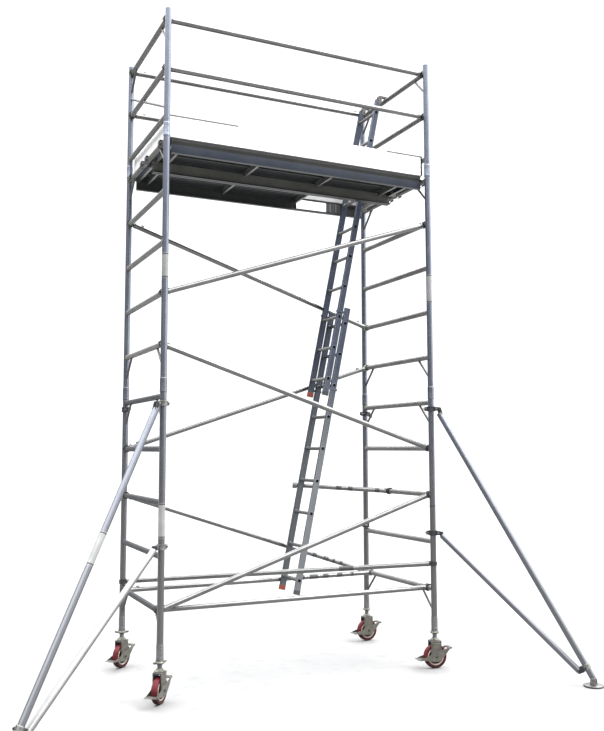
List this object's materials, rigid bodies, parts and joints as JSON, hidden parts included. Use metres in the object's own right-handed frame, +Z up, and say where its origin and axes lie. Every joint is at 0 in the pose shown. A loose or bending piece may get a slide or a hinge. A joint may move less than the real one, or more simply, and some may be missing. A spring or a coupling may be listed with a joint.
{
  "type": "mobile tower scaffold",
  "caption": "Wheeled aluminium access tower: braced ladder-frame ends, guarded work platform with a hatch, leaning two-part ladder and swing-out stabilisers.",
  "frame": {"origin": "on the floor, in the middle of the rectangle the tower and its stabilisers take up", "axes": "+X along the tower towards the hatch end, +Y from the stabiliser side to the rear, +Z up"},
  "size_m": [4.4692, 2.3932, 5.33],
  "materials": {
    "frame_tube": "satin, extruded",
    "brace_tube": "bright, drawn",
    "deck_beam": "satin, extruded",
    "deck_ply": "dark resin-faced plywood",
    "toe_board": "white, matte",
    "ladder_alloy": "satin, extruded",
    "wheel_tread": "red polyurethane",
    "zinc_steel": "zinc plated",
    "foot_rubber": "matte",
    "casting": "dark, matte"
  },
  "bodies": {
    "tower": {"base_frame_left": "frame_tube", "base_frame_right": "frame_tube", "upper_frame_left": "frame_tube", "upper_frame_right": "frame_tube", "guard_frame_left": "frame_tube", "guard_frame_right": "frame_tube", "front_brace_lower": "brace_tube", "front_brace_middle": "brace_tube", "front_brace_upper": "brace_tube", "rear_brace_lower": "brace_tube", "rear_brace_middle": "brace_tube", "rear_brace_upper": "brace_tube", "front_horizontal": "brace_tube", "rear_horizontal": "brace_tube", "front_guard_rail_middle": "brace_tube", "front_guard_rail_top": "brace_tube", "rear_guard_rail_middle": "brace_tube", "rear_guard_rail_top": "brace_tube", "plan_brace": "brace_tube", "ladder_stay": "brace_tube", "deck_frame_front": "deck_beam", "deck_frame_rear": "deck_beam", "deck_board_front": "deck_ply", "deck_board_rear": "deck_ply", "toe_board_front": "toe_board", "toe_board_rear": "toe_board", "toe_board_left": "toe_board", "toe_board_right": "toe_board", "ladder_lower_section": "ladder_alloy", "rear_coupler_left": "casting", "rear_coupler_right_upper": "casting", "rear_coupler_right_lower": "casting"},
    "trapdoor": {"trapdoor": "deck_ply"},
    "ladder_upper": {"ladder_upper_section": "ladder_alloy"},
    "leg_front_left": {"caster_leg_front_left": "zinc_steel"},
    "nut_front_left": {"leg_nut_front_left": "zinc_steel"},
    "fork_front_left": {"caster_fork_front_left": "zinc_steel"},
    "wheel_front_left": {"caster_wheel_front_left": "wheel_tread"},
    "brake_front_left": {"caster_brake_front_left": "zinc_steel"},
    "leg_rear_left": {"caster_leg_rear_left": "zinc_steel"},
    "nut_rear_left": {"leg_nut_rear_left": "zinc_steel"},
    "fork_rear_left": {"caster_fork_rear_left": "zinc_steel"},
    "wheel_rear_left": {"caster_wheel_rear_left": "wheel_tread"},
    "brake_rear_left": {"caster_brake_rear_left": "zinc_steel"},
    "leg_front_right": {"caster_leg_front_right": "zinc_steel"},
    "nut_front_right": {"leg_nut_front_right": "zinc_steel"},
    "fork_front_right": {"caster_fork_front_right": "zinc_steel"},
    "wheel_front_right": {"caster_wheel_front_right": "wheel_tread"},
    "brake_front_right": {"caster_brake_front_right": "zinc_steel"},
    "leg_rear_right": {"caster_leg_rear_right": "zinc_steel"},
    "nut_rear_right": {"leg_nut_rear_right": "zinc_steel"},
    "fork_rear_right": {"caster_fork_rear_right": "zinc_steel"},
    "wheel_rear_right": {"caster_wheel_rear_right": "wheel_tread"},
    "brake_rear_right": {"caster_brake_rear_right": "zinc_steel"},
    "stabiliser_left": {"stabiliser_tube_left": "brace_tube", "stabiliser_strut_left": "brace_tube"},
    "foot_left": {"stabiliser_foot_left": "foot_rubber"},
    "stabiliser_right": {"stabiliser_tube_right": "brace_tube", "stabiliser_strut_right": "brace_tube"},
    "foot_right": {"stabiliser_foot_right": "foot_rubber"}
  },
  "joints": [
    {"name": "trapdoor_hinge", "type": "hinge", "parent": "tower", "child": "trapdoor", "pos_m": [0.56095, 0.76487, 4.3085], "axis": [0, 1, 0], "range_deg": [0, 143]},
    {"name": "ladder_extension", "type": "slide", "parent": "tower", "child": "ladder_upper", "axis": [0.2011, 0, 0.9796], "range_m": [0, 0.596]},
    {"name": "leg_height_front_left", "type": "slide", "parent": "tower", "child": "leg_front_left", "axis": [0, 0, -1], "range_m": [0, 0.3]},
    {"name": "nut_turn_front_left", "type": "hinge", "parent": "tower", "child": "nut_front_left", "pos_m": [-1.04906, -0.10013, 0.302], "axis": [0, 0, 1], "continuous": true},
    {"name": "caster_swivel_front_left", "type": "hinge", "parent": "leg_front_left", "child": "fork_front_left", "pos_m": [-1.04906, -0.10013, 0.232], "axis": [0, 0, 1], "continuous": true},
    {"name": "wheel_spin_front_left", "type": "hinge", "parent": "fork_front_left", "child": "wheel_front_left", "pos_m": [-1.04906, -0.10013, 0.1], "axis": [0.766, -0.6428, 0], "continuous": true},
    {"name": "brake_pedal_front_left", "type": "hinge", "parent": "fork_front_left", "child": "brake_front_left", "pos_m": [-1.04906, -0.10013, 0.1], "axis": [-0.766, 0.6428, 0], "range_deg": [0, 16]},
    {"name": "leg_height_rear_left", "type": "slide", "parent": "tower", "child": "leg_rear_left", "axis": [0, 0, -1], "range_m": [0, 0.3]},
    {"name": "nut_turn_rear_left", "type": "hinge", "parent": "tower", "child": "nut_rear_left", "pos_m": [-1.04906, 1.07387, 0.302], "axis": [0, 0, 1], "continuous": true},
    {"name": "caster_swivel_rear_left", "type": "hinge", "parent": "leg_rear_left", "child": "fork_rear_left", "pos_m": [-1.04906, 1.07387, 0.232], "axis": [0, 0, 1], "continuous": true},
    {"name": "wheel_spin_rear_left", "type": "hinge", "parent": "fork_rear_left", "child": "wheel_rear_left", "pos_m": [-1.04906, 1.07387, 0.1], "axis": [0.6428, -0.766, 0], "continuous": true},
    {"name": "brake_pedal_rear_left", "type": "hinge", "parent": "fork_rear_left", "child": "brake_rear_left", "pos_m": [-1.04906, 1.07387, 0.1], "axis": [-0.6428, 0.766, 0], "range_deg": [0, 16]},
    {"name": "leg_height_front_right", "type": "slide", "parent": "tower", "child": "leg_front_right", "axis": [0, 0, -1], "range_m": [0, 0.3]},
    {"name": "nut_turn_front_right", "type": "hinge", "parent": "tower", "child": "nut_front_right", "pos_m": [1.36095, -0.10013, 0.302], "axis": [0, 0, 1], "continuous": true},
    {"name": "caster_swivel_front_right", "type": "hinge", "parent": "leg_front_right", "child": "fork_front_right", "pos_m": [1.36095, -0.10013, 0.232], "axis": [0, 0, 1], "continuous": true},
    {"name": "wheel_spin_front_right", "type": "hinge", "parent": "fork_front_right", "child": "wheel_front_right", "pos_m": [1.36095, -0.10013, 0.1], "axis": [-0.1736, -0.9848, 0], "continuous": true},
    {"name": "brake_pedal_front_right", "type": "hinge", "parent": "fork_front_right", "child": "brake_front_right", "pos_m": [1.36095, -0.10013, 0.1], "axis": [0.1736, 0.9848, 0], "range_deg": [0, 16]},
    {"name": "leg_height_rear_right", "type": "slide", "parent": "tower", "child": "leg_rear_right", "axis": [0, 0, -1], "range_m": [0, 0.3]},
    {"name": "nut_turn_rear_right", "type": "hinge", "parent": "tower", "child": "nut_rear_right", "pos_m": [1.36095, 1.07387, 0.302], "axis": [0, 0, 1], "continuous": true},
    {"name": "caster_swivel_rear_right", "type": "hinge", "parent": "leg_rear_right", "child": "fork_rear_right", "pos_m": [1.36095, 1.07387, 0.232], "axis": [0, 0, 1], "continuous": true},
    {"name": "wheel_spin_rear_right", "type": "hinge", "parent": "fork_rear_right", "child": "wheel_rear_right", "pos_m": [1.36095, 1.07387, 0.1], "axis": [0, -1, 0], "continuous": true},
    {"name": "brake_pedal_rear_right", "type": "hinge", "parent": "fork_rear_right", "child": "brake_rear_right", "pos_m": [1.36095, 1.07387, 0.1], "axis": [0, 1, 0], "range_deg": [0, 16]},
    {"name": "stabiliser_swing_left", "type": "hinge", "parent": "tower", "child": "stabiliser_left", "pos_m": [-1.04906, -0.10013, 1.134], "axis": [0, 0, 1], "range_deg": [-50, 50]},
    {"name": "foot_tilt_left", "type": "hinge", "parent": "stabiliser_left", "child": "foot_left", "pos_m": [-2.15692, -0.7658, 0.058], "axis": [0.515, -0.8572, 0], "range_deg": [-20, 20]},
    {"name": "stabiliser_swing_right", "type": "hinge", "parent": "tower", "child": "stabiliser_right", "pos_m": [1.36095, -0.10013, 1.134], "axis": [0, 0, 1], "range_deg": [-50, 50]},
    {"name": "foot_tilt_right", "type": "hinge", "parent": "stabiliser_right", "child": "foot_right", "pos_m": [2.15667, -1.11861, 0.058], "axis": [0.788, 0.6157, 0], "range_deg": [-20, 20]}
  ]
}
